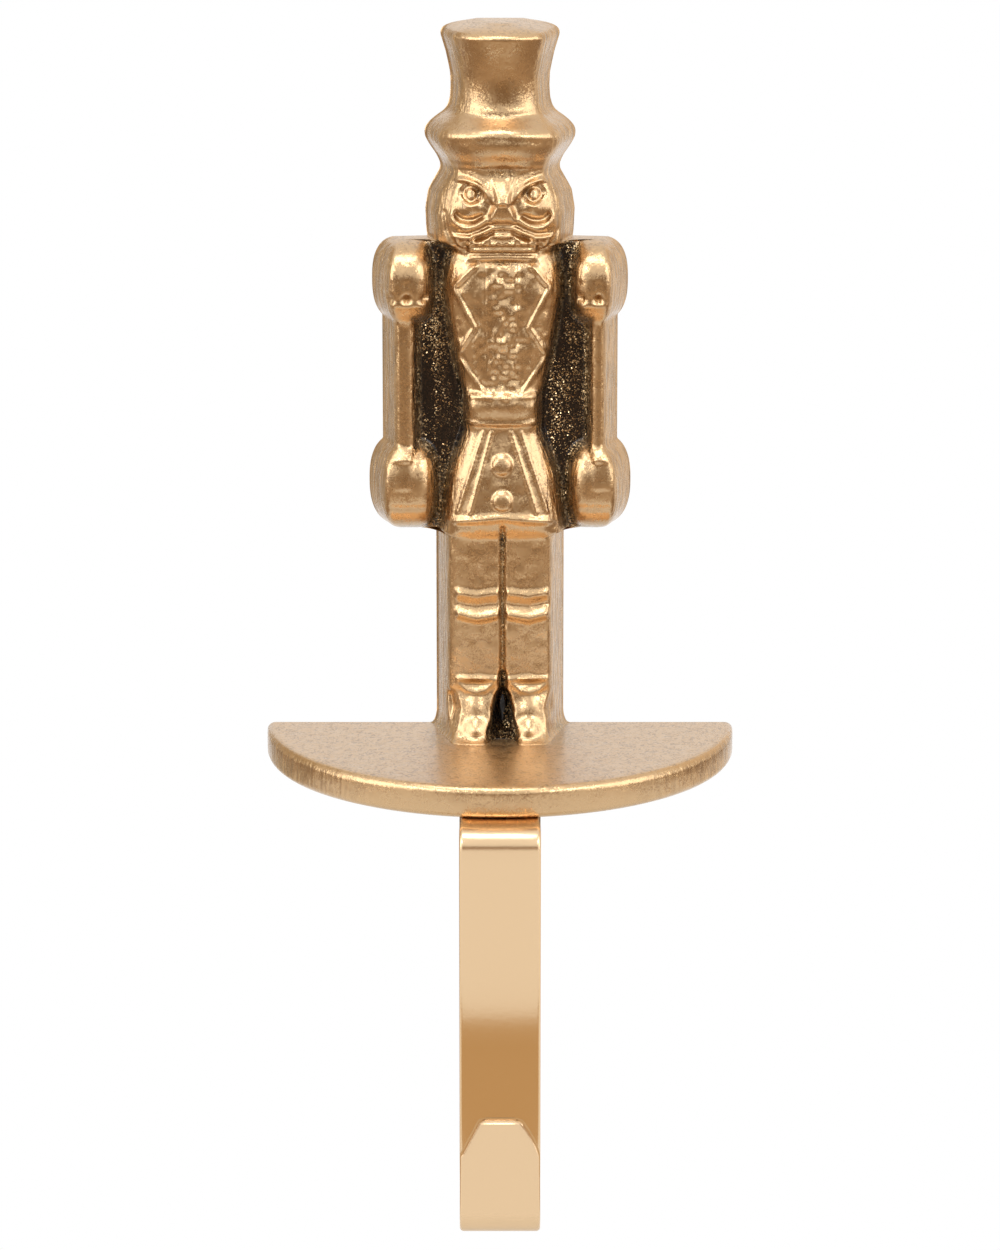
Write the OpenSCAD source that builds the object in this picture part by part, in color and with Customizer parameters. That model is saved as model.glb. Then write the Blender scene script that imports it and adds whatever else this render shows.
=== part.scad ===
// Mantel stocking holder: a cast soldier figure on a half-round base, with a
// bent strap hook underneath. The origin is the middle of the straight back
// edge of the pad's underside, +Z is up and the front faces -Y.

/* [Base] */
// Width of the half-round base along its straight back edge
base_w = 95; // [80:1:120]
// Thickness of the base
base_h = 6.5; // [5:0.5:10]
// Rounding of the base's curved edge
base_edge_r = 1.6; // [0.5:0.1:2.4]

/* [Figure] */
// Height of the figure above the base
figure_h = 144.7; // [120:0.1:170]
// Depth of the relief at the middle of the head, from the flat back
figure_d = 12.6; // [9:0.1:16]
// Thickness of the web between the arms and the body
web_h = 4.4; // [3:0.1:7]
// Width of the hat at its top rim
hat_top_w = 23.7; // [20:0.1:27]
// Width of the hat's crown where it is narrowest
crown_w = 19.6; // [16:0.1:22]
// Width of the hat's brim
brim_w = 30.1; // [26:0.1:34]
// Width of the head
head_w = 29.8; // [26:0.1:32]
// Width of the chest
chest_w = 24; // [20:0.1:26]
// Width of the waist
waist_w = 16.6; // [14:0.1:19]
// Width of the coat's hem
hem_w = 24.4; // [21:0.1:25]
// Width over both legs at the back
legs_w = 25.8; // [23:0.1:28]
// Distance between the centre lines of the two arms
arm_gap_w = 39.3; // [37:0.1:42]
// Width of an arm between shoulder and hand
arm_w = 7.9; // [6:0.1:10]
// Width of a shoulder
shoulder_w = 11.9; // [10:0.1:13]
// Height of a shoulder
shoulder_h = 17.2; // [14:0.1:20]
// Width of a hand
hand_w = 13.4; // [11:0.1:15]
// Height of a hand
hand_h = 19; // [16:0.1:22]
// Diameter of a coat button
button_d = 4.1; // [3:0.1:5]

/* [Hook] */
// Width of the strap under the base and down its front
strap_w = 16; // [12:0.5:20]
// Thickness of the strap
strap_t = 3; // [2.5:0.1:4]
// Distance from the base's back edge to the strap's rear end
strap_setback = 6; // [4:0.5:10]
// Distance from the base's front to the strap's outer face
strap_reach = 8.2; // [6:0.1:12]
// Inside radius of the bend at the top of the strap
top_bend_r = 1; // [0.5:0.1:3]
// Inside radius of the two bends at the bottom of the hook
hook_bend_r = 3; // [2:0.1:6]
// Distance from the underside of the base to the bottom of the hook
hook_drop = 73.9; // [55:0.1:90]
// Clear distance between the strap and the hook's tip
throat_d = 25; // [18:0.5:35]
// Height of the hook's tip above the bottom of the hook
tip_h = 24.4; // [16:0.1:30]
// Width of the strap at the tip
tip_w = 15.3; // [11:0.1:16]
// Width of the flat top of the tip
tip_flat_w = 7.9; // [5:0.1:9]
// Height of the cut corners of the tip
tip_cut_h = 7.4; // [4:0.1:9]

/* [Screws] */
// Diameter of a screw
screw_d = 4; // [3:0.5:5]
// Length of a screw with its countersunk head
screw_l = 8; // [7:0.5:9]
// Diameter of a screw's head
screw_head_d = 7.5; // [6.5:0.1:9]
// Distance between the two screws
screw_gap = 25; // [18:0.5:30]

/* [Pad] */
// Thickness of the mantel pad
pad_h = 3.2; // [3:0.1:5]
// Distance from the base's curved edge to the pad's edge
pad_inset = 13; // [8:0.5:20]

/* [Hidden] */

$fn = 64;
// Length by which cuts run past a face
overrun = 1;
// Clearance between the strap and the sides of the pad's slot
slot_clearance = 1;
// Clearance round a screw's shank in the strap, and in its tapped hole
strap_hole_clearance = 0.25;
thread_clearance = 0.05;
// Depth of the tapped hole past the screw's end
hole_spare = 0.4;
// Width and depth of a screw's cross recess
recess_w = 1;
recess_span = 4.4;
recess_depth = 1.3;
// Width of the flat land at the edge of a screw's head
head_land_h = 0.3;
// Radius of the curved corner of the tip
tip_arc_r = 19;

base_r = base_w / 2;
base_z = pad_h;
base_top_z = base_z + base_h;
strap_z = base_z - strap_t;
strap_front_y = -(base_r + strap_reach);
hook_z = base_z - hook_drop;
hook_front_y = strap_front_y - throat_d - strap_t;
// Place of the screws' middle, as a share of the base's radius
screw_mid_share = 0.58;
screw_mid_y = -base_r * screw_mid_share;
head_h = (screw_head_d - screw_d) / 2;

// Levels of the figure as shares of its height, from the base up
knee_low_share = 0.159;
knee_top_share = 0.207;
leg_top_share = 0.287;
hem_share = 0.314;
hand_share = 0.354;
skirt_top_share = 0.435;
belt_top_share = 0.488;
chest_share = 0.631;
shoulder_share = 0.639;
chin_share = 0.697;
head_share = 0.738;
eye_level_share = 0.77;
brim_share = 0.8445;
crown_share = 0.909;
hat_top_share = 0.98;

// Squareness of the shoulders and hands: 2 is round, more is squarer
shoulder_power_share = 2.6;
hand_power_share = 2.5;
arm_power_share = 2.6;

// Outline of the body: level share, the width it follows, share of that width,
// and depth as a share of the head's
body_shares = [
    // Feet, legs and knees
    [-0.02, legs_w, 1, 1.14],
    [0, legs_w, 1, 1.13],
    [0.017, legs_w, 1, 1.08],
    [0.041, legs_w, 1, 1],
    [0.069, legs_w, 1, 0.9],
    [knee_low_share, legs_w, 1, 0.92],
    [knee_top_share, legs_w, 1, 0.905],
    [leg_top_share, legs_w, 1, 0.905],
    // Hem, skirt and belt
    [0.297, hem_w, 1.016, 1],
    [hem_share, hem_w, 1, 1.05],
    [0.373, hem_w, 0.9, 0.97],
    [skirt_top_share, waist_w, 0.97, 0.825],
    [0.449, waist_w, 0.985, 0.85],
    [belt_top_share, waist_w, 0.985, 0.85],
    [0.5, waist_w, 1.06, 0.82],
    // Chest and neck
    [0.553, chest_w, 0.87, 0.84],
    [chest_share, chest_w, 1, 0.873],
    [0.667, chest_w, 0.962, 0.825],
    [0.681, chest_w, 0.934, 0.794],
    // Chin, cheeks and forehead
    [0.691, head_w, 0.805, 0.857],
    [chin_share, head_w, 0.973, 0.905],
    [0.708, head_w, 0.987, 0.952],
    [head_share, head_w, 1, 0.992],
    [0.764, head_w, 0.96, 0.976],
    [0.774, head_w, 0.906, 0.96],
    [0.784, head_w, 0.852, 0.937],
    [0.792, head_w, 0.805, 0.913],
    [0.799, head_w, 0.795, 0.92],
    // Brim of the hat
    [0.806, brim_w, 0.81, 0.968],
    [0.813, brim_w, 0.844, 1.03],
    [0.82, brim_w, 0.89, 1.1],
    [0.828, brim_w, 0.944, 1.18],
    [0.837, brim_w, 0.99, 1.22],
    [brim_share, brim_w, 1, 1.23],
    [0.851, brim_w, 0.983, 1.21],
    [0.859, brim_w, 0.924, 1.135],
    [0.867, brim_w, 0.837, 1.03],
    // Crown of the hat and its domed top
    [0.8735, crown_w, 1.133, 0.92],
    [0.8805, crown_w, 1.061, 0.865],
    [0.8915, crown_w, 1.015, 0.833],
    [crown_share, crown_w, 1, 0.825],
    [0.926, crown_w, 1.01, 0.833],
    [0.942, crown_w, 1.056, 0.873],
    [0.956, hat_top_w, 0.911, 0.913],
    [0.97, hat_top_w, 0.962, 0.968],
    [hat_top_share, hat_top_w, 1, 1.008],
    [0.986, hat_top_w, 0.983, 0.992],
    [0.99, hat_top_w, 0.928, 0.944],
    [0.9945, hat_top_w, 0.81, 0.85],
    [0.997, hat_top_w, 0.641, 0.714],
    [1, hat_top_w, 0.287, 0.437]
];

// Squareness of the body's section: [level share, power]
section_power_shares = [
    [0, 4.5], [0.283, 4.5], [0.304, 3.6], [0.449, 4], [0.667, 4], [0.685, 2.6], [0.705, 2.3],
    [0.795, 2.2], [0.829, 2], [1, 2]
];

// Ridges on the body, mirrored on both sides. The places are shares of half
// the head's width and of the figure's height: [x, level, x, level]. The last
// two values are the half width and the rise, as shares of half the head's
// width. A rise below zero is a groove.
body_ridge_shares = [
    // Brow, bridge of the nose and groove beside the nose
    [0.54, 0.793, 0.22, 0.786, 0.09, 0.05],
    [0, 0.798, 0, 0.766, 0.12, 0.06],
    [0.17, 0.768, 0.27, 0.732, 0.09, -0.04],
    // Fold under the cheek and its lower lip
    [0.6, 0.739, 0.34, 0.737, 0.1, -0.09],
    [0.64, 0.729, 0.34, 0.7265, 0.09, 0.045],
    // Moustache, open mouth and the line of the chin
    [0, 0.7235, 0.3, 0.7165, 0.09, 0.05],
    [0.3, 0.7165, 0.62, 0.7085, 0.09, 0.05],
    [0.17, 0.7095, 0.4, 0.7025, 0.08, -0.085],
    [0, 0.692, 0.42, 0.691, 0.07, 0.045],
    // Edge of the beard, and the neckerchief under the chin
    [0.74, 0.735, 0.66, 0.705, 0.08, -0.035],
    [0.66, 0.705, 0.48, 0.688, 0.08, -0.035],
    [0, 0.6805, 0.4, 0.6805, 0.07, 0.045],
    // Zigzag edge of the coat's lapel
    [0.31, 0.668, 0.6, 0.634, 0.09, 0.05],
    [0.6, 0.634, 0.34, 0.582, 0.09, 0.05],
    [0.34, 0.582, 0.57, 0.54, 0.09, 0.05],
    [0.57, 0.54, 0.24, 0.492, 0.09, 0.05],
    // Edge of the coat's front
    [0.22, 0.668, 0.22, 0.57, 0.06, 0.03],
    // Belt in two rolls
    [0, 0.48, 0.5, 0.48, 0.1, 0.05],
    [0, 0.456, 0.5, 0.456, 0.1, 0.05],
    // Two stripes of the coat's skirt and its hem
    [0.23, 0.436, 0.62, 0.318, 0.07, 0.04],
    [0.12, 0.436, 0.47, 0.318, 0.07, 0.04],
    [0, 0.319, 0.75, 0.31, 0.08, 0.05],
    // Knee band in two rolls, and the cuff of the boot
    [0.12, 0.204, 0.6, 0.204, 0.1, 0.05],
    [0.12, 0.175, 0.6, 0.178, 0.1, 0.07],
    [0.1, 0.08, 0.6, 0.082, 0.06, 0.05],
    // Instep and toe of the boot
    [0.36, 0.052, 0.36, 0.04, 0.2, 0.06],
    [0.36, 0.022, 0.36, 0.01, 0.26, 0.1],
    // Groove between the legs and hollow between the boots
    [0, 0.29, 0, 0.07, 0.1, -0.22],
    [0, 0.05, 0, 0.008, 0.2, -0.6]
];

// Rounded swellings and hollows of the face, in the same shares:
// [x, level, half width, half height, rise]
face_spot_shares = [
    // Socket of the eye and cheek
    [0.42, eye_level_share, 0.26, 0.2, -0.1],
    [0.42, 0.7505, 0.22, 0.1, 0.045],
    // Upper lip and two teeth
    [0, 0.711, 0.17, 0.08, 0.06],
    [0.28, 0.7005, 0.11, 0.07, 0.05],
    [0.06, 0.7005, 0.11, 0.07, 0.04]
];

// Eyeball: place across, radius and rise as shares of half the head's width
eye_x_share = 0.42;
eye_r_share = 0.13;
eye_rise_share = 0.13;

// Nose: a wedge that widens and rises from its top to its tip. Levels as
// shares of the figure's height, the rest as shares of half the head's width
nose_level_shares = [0.729, 0.737, 0.766, 0.776];
nose_half_shares = [0.03, 0.15];
nose_rise_shares = [0.07, 0.18];
nose_side_share = 0.08;

// Coat buttons: level shares, and rise as a share of their diameter
button_level_shares = [0.3915, 0.3415];
button_rise_share = 0.25;

// Depth of shoulder, hand and arm as shares of the head's depth
shoulder_depth_share = 0.92;
hand_depth_share = 0.84;
arm_depth_share = 0.706;

// Slope of the cast side walls, as depth gained per width: above the legs, and
// on the legs
draft_share = 3;
leg_draft_share = 4.3;
// Height of the fillet at the feet, and how far it reaches out
foot_fillet_h = 2.6;
foot_fillet_reach = 4;

// Rows of the relief: [first level share, last level share, number of rows]
row_shares = [
    [-0.014, 0, 1], [0, 0.02, 4], [0.02, 0.08, 6], [0.08, 0.15, 4], [0.15, 0.215, 8],
    [0.215, 0.286, 3], [0.286, 0.3, 5], [0.3, 0.33, 5], [0.33, 0.43, 9], [0.43, 0.5, 8],
    [0.5, 0.66, 15], [0.66, 0.69, 5], [0.69, 0.79, 24], [0.79, 0.88, 12], [0.88, 0.97, 7],
    [0.97, 1, 8]
];
// Places of the columns over an arm, from its inner to its outer side
arm_column_shares = [0, 0.16, 0.4, 0.67, 1];
// Places of the columns on the web, from the body to the arm
web_column_shares = [0.15, 0.85];
// Least width of the web, as a share of the arm's
web_least_share = 0.05;
// Number of columns over half of the body, and the part of the half width that
// they cover where there are no arms beside it
body_columns = 16;
front_share = 0.79;

levels = [
    for (band = row_shares) for (i = [0:band[2] - 1])
        (band[0] + (band[1] - band[0]) * i / band[2]) * figure_h,
    figure_h
];
half_columns = body_columns + len(web_column_shares) + len(arm_column_shares);

body_widths = [for (row = body_shares) [row[0] * figure_h, row[1] * row[2]]];
body_depths = [for (row = body_shares) [row[0] * figure_h, row[3] * figure_d]];
section_powers = [for (row = section_power_shares) [row[0] * figure_h, row[1]]];

shoulder_z = shoulder_share * figure_h;
hand_z = hand_share * figure_h;
arms_low_z = hand_z - hand_h / 2;
arms_top_z = shoulder_z + shoulder_h / 2;

// Height of a rounded block's surface over its middle, from 1 down to 0
function block(x, z, w, h, power) =
    pow(max(0, 1 - pow(abs(x) / w * 2, power) - pow(abs(z) / h * 2, power)), 1 / power);
// Half width of that block at a level
function block_half(z, w, h, power) =
    w / 2 * pow(max(0, 1 - pow(abs(z) / h * 2, power)), 1 / power);

function body_half(z) = lookup(z, body_widths) / 2;
function in_arms(z) = z > arms_low_z && z < arms_top_z;
function arm_half(z) = max(
    z > hand_z && z < shoulder_z ? arm_w / 2 : 0,
    block_half(z - shoulder_z, shoulder_w, shoulder_h, shoulder_power_share),
    block_half(z - hand_z, hand_w, hand_h, hand_power_share)
);
function outline(z) = in_arms(z) ? max(body_half(z), arm_gap_w / 2 + arm_half(z)) : body_half(z);

// Distance from a point to a line between two points
function line_distance(p, a, b) = let (
    run = b - a,
    t = run * run > 0 ? max(0, min(1, (p - a) * run / (run * run))) : 0
) norm(p - a - t * run);
// Rounded swelling over a distance that is a share of its reach
function swelling(share, height) = share < 1 ? height * pow(1 - share * share, 2) : 0;
// Part of a ball that stands out, over a distance that is a share of its radius
function ball(share, height) = share < 1 ? height * sqrt(1 - share * share) : 0;
// Smooth step from 0 at one place to 1 at another
function ramp(v, from, to) = let (t = max(0, min(1, (v - from) / (to - from)))) t * t * (3 - 2 * t);
function sum(list, i = 0) = i < len(list) ? list[i] + sum(list, i + 1) : 0;

// Heights of the ridges, spots, buttons, eyes and nose at a place
function ridges(x, z) = let (r = head_w / 2) sum([
    for (row = body_ridge_shares)
        swelling(
            line_distance([x, z], [row[0] * r, row[1] * figure_h], [row[2] * r, row[3] * figure_h])
                / (row[4] * r),
            row[5] * r
        )
]);
function spots(x, z) = let (r = head_w / 2) sum([
    for (row = face_spot_shares)
        swelling(norm([(x - row[0] * r) / row[2], (z - row[1] * figure_h) / row[3]]) / r, row[4] * r)
]);
function buttons(x, z) = sum([
    for (level = button_level_shares)
        ball(norm([x, z - level * figure_h]) * 2 / button_d, button_d * button_rise_share)
]);
function eye(x, z) = let (
    r = head_w / 2,
    away = norm([x - eye_x_share * r, z - eye_level_share * figure_h])
) ball(away / (eye_r_share * r), eye_rise_share * r);
function nose(x, z) = let (
    r = head_w / 2,
    level = [for (share = nose_level_shares) share * figure_h],
    down = max(0, min(1, (level[2] - z) / (level[2] - level[1]))),
    half = nose_half_shares[0] + (nose_half_shares[1] - nose_half_shares[0]) * down,
    height = nose_rise_shares[0] + (nose_rise_shares[1] - nose_rise_shares[0]) * down
) height * r * ramp(x, (half + nose_side_share) * r, half * r)
    * ramp(z, level[0], level[1]) * ramp(z, level[3], level[2]);

function body_depth(x, z) = let (
    power = lookup(z, section_powers),
    across = min(1, x / body_half(z)),
    foot = z < foot_fillet_h ? pow(1 - max(0, z) / foot_fillet_h, 2) * foot_fillet_reach : 0
) (lookup(z, body_depths) + foot) * pow(1 - pow(across, power), 1 / power);

function arm_depth(x, z) = let (dx = x - arm_gap_w / 2) max(
    shoulder_depth_share * block(dx, z - shoulder_z, shoulder_w, shoulder_h, shoulder_power_share),
    hand_depth_share * block(dx, z - hand_z, hand_w, hand_h, hand_power_share),
    z > hand_z && z < shoulder_z ? arm_depth_share * block(dx, 0, arm_w, arm_w, arm_power_share) : 0
) * figure_d;

// Depth of the relief at a place, from the flat back
function relief_depth(x, z) = let (
    body = body_depth(x, z),
    arm = in_arms(z) ? arm_depth(x, z) : 0,
    marks = body > arm && body > web_h
        ? ridges(x, z) + spots(x, z) + buttons(x, z) + eye(x, z) + nose(x, z) : 0,
    draft = in_arms(z) || z > leg_top_share * figure_h ? draft_share : leg_draft_share
) min(max(body, arm, in_arms(z) ? web_h : 0) + marks, (outline(z) - x) * draft);

// Places of the columns on one side of a level, from the middle outwards
function columns(z) = in_arms(z)
    ? let (
        body = body_half(z),
        arm_in = max(body + arm_w * web_least_share, arm_gap_w / 2 - arm_half(z))
    ) [
        for (i = [0:body_columns]) body * i / body_columns,
        for (share = web_column_shares) body + (arm_in - body) * share,
        for (share = arm_column_shares) arm_in + (outline(z) - arm_in) * share
    ]
    : [
        for (i = [0:body_columns]) body_half(z) * front_share * i / body_columns,
        for (i = [1:half_columns - body_columns])
            let (turn = sin(90 * i / (half_columns - body_columns)))
                body_half(z) * (front_share + (1 - front_share) * turn)
    ];

// The relief as a loft: each level is a closed loop of points, with the last
// one in the middle of the flat back
module relief() {
    n = half_columns;
    width = 2 * n + 2;
    rows = [
        for (z = levels) let (xs = columns(z)) [
            for (i = [-n:n]) let (x = xs[abs(i)])
                [sign(i) * x, abs(i) == n ? 0 : -relief_depth(x, z), z],
            [0, 0, z]
        ]
    ];
    walls = [
        for (r = [0:len(levels) - 2]) for (i = [0:width - 1]) let (
            a = r * width + i, b = r * width + (i + 1) % width, c = b + width, d = a + width
        ) each (i < n ? [[a, d, c], [a, c, b]] : [[a, d, b], [b, d, c]])
    ];
    last = (len(levels) - 1) * width;
    ends = [
        for (i = [0:width - 3]) each [
            [width - 1, i, i + 1],
            [last + width - 1, last + i + 1, last + i]
        ]
    ];
    polyhedron(points = [for (row = rows) each row], faces = concat(walls, ends));
}

// Half disc with a rounded curved edge
module base() {
    rotate([0, 0, 180])
        rotate_extrude(angle = 180, $fn = 128) {
            square([base_r - base_edge_r, base_h]);
            translate([0, base_edge_r])
                square([base_r, base_h - 2 * base_edge_r]);
            for (z = [base_edge_r, base_h - base_edge_r])
                translate([base_r - base_edge_r, z])
                    circle(base_edge_r);
        }
}

module at_screws() {
    for (side = [-1, 1])
        translate([0, screw_mid_y + side * screw_gap / 2, strap_z])
            children();
}

module cast_figure_base() {
    color("#d2aa78")
        difference() {
            union() {
                translate([0, 0, base_z])
                    base();
                translate([0, 0, base_top_z])
                    relief();
            }
            at_screws()
                cylinder(h = screw_l + hole_spare, d = screw_d + 2 * thread_clearance);
        }
}

// Countersunk head and shank without its thread, standing on the head
module screw_blank(clearance) {
    cylinder(h = head_land_h, d = screw_head_d + 2 * clearance);
    translate([0, 0, head_land_h])
        cylinder(h = head_h, d1 = screw_head_d + 2 * clearance, d2 = screw_d + 2 * clearance);
}

module fixing_screws() {
    color("#b9b4a8")
        at_screws()
            difference() {
                union() {
                    screw_blank(0);
                    cylinder(h = screw_l, d = screw_d);
                }
                for (turn = [0, 90])
                    rotate([0, 0, turn])
                        translate([-recess_span / 2, -recess_w / 2, -overrun])
                            cube([recess_span, recess_w, recess_depth + overrun]);
            }
}

// Quarter ring of the strap's side view, from the first to the second axis
module bend(inner_r) {
    difference() {
        circle(inner_r + strap_t);
        circle(inner_r);
        translate([-(inner_r + strap_t + overrun), -(inner_r + strap_t + overrun)])
            square([inner_r + strap_t + overrun, 2 * (inner_r + strap_t + overrun)]);
        translate([-overrun, -(inner_r + strap_t + overrun)])
            square([inner_r + strap_t + 2 * overrun, inner_r + strap_t + overrun]);
    }
}

// Side view of the strap: forwards is +x and up is +y
module strap_side() {
    back = -strap_front_y;
    tip = -hook_front_y;
    top_r = top_bend_r + strap_t;
    low_r = hook_bend_r + strap_t;
    translate([strap_setback, strap_z])
        square([back - strap_setback - top_r, strap_t]);
    translate([back - top_r, base_z - top_r])
        bend(top_bend_r);
    translate([back - strap_t, hook_z + low_r])
        square([strap_t, base_z - top_r - hook_z - low_r]);
    translate([back - strap_t + low_r, hook_z + low_r])
        rotate(180)
            bend(hook_bend_r);
    translate([back - strap_t + low_r, hook_z])
        square([tip - back + strap_t - 2 * low_r, strap_t]);
    translate([tip - low_r, hook_z + low_r])
        rotate(-90)
            bend(hook_bend_r);
    translate([tip - strap_t, hook_z + low_r])
        square([strap_t, tip_h - low_r]);
}

// Outline of the strap seen from above: it narrows towards the tip
module strap_plan() {
    polygon([
        [-strap_w / 2, 0], [strap_w / 2, 0],
        [strap_w / 2, -strap_front_y], [tip_w / 2, -hook_front_y + overrun],
        [-tip_w / 2, -hook_front_y + overrun], [-strap_w / 2, -strap_front_y]
    ]);
}

// Outline of the tip's two corners seen from the front: the left one is cut
// straight and the right one is cut as a shallow arc
module tip_outline() {
    cut_w = (tip_w - tip_flat_w) / 2;
    chord = norm([cut_w, tip_cut_h]);
    reach = sqrt(pow(tip_arc_r, 2) - pow(chord / 2, 2));
    top = hook_z + tip_h;
    difference() {
        translate([-strap_w / 2 - overrun, hook_z - overrun])
            square([strap_w + 2 * overrun, tip_h + overrun]);
        polygon([
            [-tip_flat_w / 2, top + overrun], [-tip_flat_w / 2, top],
            [-tip_w / 2, top - tip_cut_h], [-strap_w / 2 - 2 * overrun, top - tip_cut_h],
            [-strap_w / 2 - 2 * overrun, top + overrun]
        ]);
        difference() {
            translate([tip_flat_w / 2, top - tip_cut_h])
                square([strap_w, tip_cut_h + overrun]);
            translate([
                tip_flat_w / 2 + cut_w / 2 - reach * tip_cut_h / chord,
                top - tip_cut_h / 2 - reach * cut_w / chord
            ])
                circle(tip_arc_r, $fn = 128);
        }
    }
}

module hook_strap() {
    color("#e8c7a0")
        difference() {
            intersection() {
                rotate([90, 0, -90])
                    translate([0, 0, -strap_w / 2 - overrun])
                        linear_extrude(strap_w + 2 * overrun)
                            strap_side();
                translate([0, 0, hook_z - overrun])
                    linear_extrude(base_z - hook_z + 2 * overrun)
                        mirror([0, 1])
                            strap_plan();
            }
            difference() {
                translate([-strap_w / 2 - overrun, hook_front_y - overrun, hook_z + hook_bend_r + strap_t])
                    cube([strap_w + 2 * overrun, strap_t + 2 * overrun, tip_h]);
                rotate([90, 0, 0])
                    linear_extrude(-hook_front_y + 3 * overrun)
                        tip_outline();
            }
            at_screws() {
                screw_blank(0);
                translate([0, 0, -overrun])
                    cylinder(h = strap_t + 2 * overrun, d = screw_d + 2 * strap_hole_clearance);
                translate([0, 0, -overrun])
                    cylinder(h = overrun + head_land_h, d = screw_head_d);
            }
        }
}

// Half-round pad with a slot in which the strap lies
module mantel_pad() {
    color("#3a3a3a")
        difference() {
            rotate([0, 0, 180])
                rotate_extrude(angle = 180, $fn = 128)
                    square([base_r - pad_inset, pad_h]);
            translate([
                -strap_w / 2 - slot_clearance, -base_r - overrun, -overrun
            ])
                cube([
                    strap_w + 2 * slot_clearance,
                    base_r + overrun - strap_setback + slot_clearance,
                    pad_h + 2 * overrun
                ]);
        }
}

cast_figure_base();
hook_strap();
fixing_screws();
mantel_pad();
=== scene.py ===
# Mantel stocking holder: a gold-painted soldier casting on a half-round base,
# with a painted strap hook, two zinc-plated screws and a foam rubber pad.
import bmesh
import bpy
import math
import numpy as np
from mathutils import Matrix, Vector


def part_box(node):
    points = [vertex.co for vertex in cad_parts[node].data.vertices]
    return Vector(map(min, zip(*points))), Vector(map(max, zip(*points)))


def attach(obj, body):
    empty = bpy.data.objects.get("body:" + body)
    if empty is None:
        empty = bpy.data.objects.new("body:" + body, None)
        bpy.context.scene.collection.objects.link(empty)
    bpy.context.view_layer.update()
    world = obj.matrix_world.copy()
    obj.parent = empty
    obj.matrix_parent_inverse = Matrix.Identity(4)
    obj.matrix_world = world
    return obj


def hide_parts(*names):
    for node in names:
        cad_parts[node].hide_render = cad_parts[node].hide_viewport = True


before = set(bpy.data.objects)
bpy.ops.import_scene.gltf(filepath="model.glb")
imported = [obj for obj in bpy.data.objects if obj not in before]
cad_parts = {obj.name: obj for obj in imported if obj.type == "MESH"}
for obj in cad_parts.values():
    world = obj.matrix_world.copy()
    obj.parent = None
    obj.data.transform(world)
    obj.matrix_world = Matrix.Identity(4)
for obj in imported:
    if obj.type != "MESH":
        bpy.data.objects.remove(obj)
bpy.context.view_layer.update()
MM = 0.001
# Angles above which an edge of the casting and of the steel pieces is sharp
CAST_SHARP = 50
STEEL_SHARP = 40

# Camera, matched to the photograph's perspective
CAMERA_DISTANCE = 1119 * MM
CAMERA_PITCH = 14.9
CAMERA_LENS = 158.4
CAMERA_AIM_ABOVE_BASE = 20.5 * MM

# Places on the CAD model
strap_low, strap_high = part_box("hook_strap")
cast_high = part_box("cast_figure_base")[1]
BASE_Z = strap_high.z / MM
BASE_H = 6.5
BASE_R = cast_high.x / MM
BASE_TOP = BASE_Z + BASE_H
FIGURE_H = cast_high.z / MM - BASE_TOP

# The studio: a floor well below the hook, glowing cards round the object for painted reflections, and
# lamps
FLOOR_Z = strap_low.z - 0.25
CARD_Z = -0.004
CARD_NEAR = 0.12
CARD_SPLIT = 0.32
CARD_DEEP = 2.5
CARD_WIDE = 2.4
FRONT_CARD_FAR = 1.5
FRONT_CARD_WIDE = 1.4
FRONT_CARD_TOP = 0.36
HOOK_CARD_Y = -0.0735
HOOK_CARD_TOP = -0.041
HOOK_CARD_WIDE = 0.08
WING_NEAR = 0.075
WING_BACK = 0.05
SIDE_CARD_NEAR = 0.22
SIDE_CARD_WIDE = 0.9
SIDE_CARD_Y = 0.4
SIDE_CARD_TOP = 0.7
FLOOR_HALF = 0.8
# Place, size and power of each lamp; all of them point at the middle of the object
LAMP_AIM = (0, -0.03, 0.06)
LAMPS = {
    "left_softbox": ((-0.8, -0.35, 0.35), (0.5, 0.9), 2.5),
    "right_softbox": ((0.8, -0.35, 0.35), (0.5, 0.9), 2),
    "top_softbox": ((-0.1, -0.3, 1.0), (0.6, 0.4), 3),
    "upper_left_softbox": ((-0.75, -0.95, 0.85), (0.45, 0.3), 2.8),
    "upper_right_softbox": ((0.75, -0.95, 0.85), (0.45, 0.3), 2.8)
}

# The casting's relief: levels and sizes in millimetres above the base
WEB_H = 4.4
DRAFT = 3
LEG_DRAFT = 3.8
INNER_DRAFT = 4.2
ARM_X = 19.65
ARM_W = 7.9
# Level, width, height, squareness and depth
SHOULDER = (92.45, 11.9, 17.2, 2.6, 11.6)
HAND = (51.2, 13.4, 19.0, 2.5, 10.6)
ARM_DEPTH = 8.9
# The relief lies a little to the right of the casting's outline
RELIEF_SHIFT = 0.5
FIGURE_SINK = 2
FOOT_FILLET_R = 3.4
FOOT_FLARE = 1.3
# Reach of the dry spray and the painted shade on the base round the feet
FOOT_SPRAY_AND_SHADE = 4.5
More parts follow.
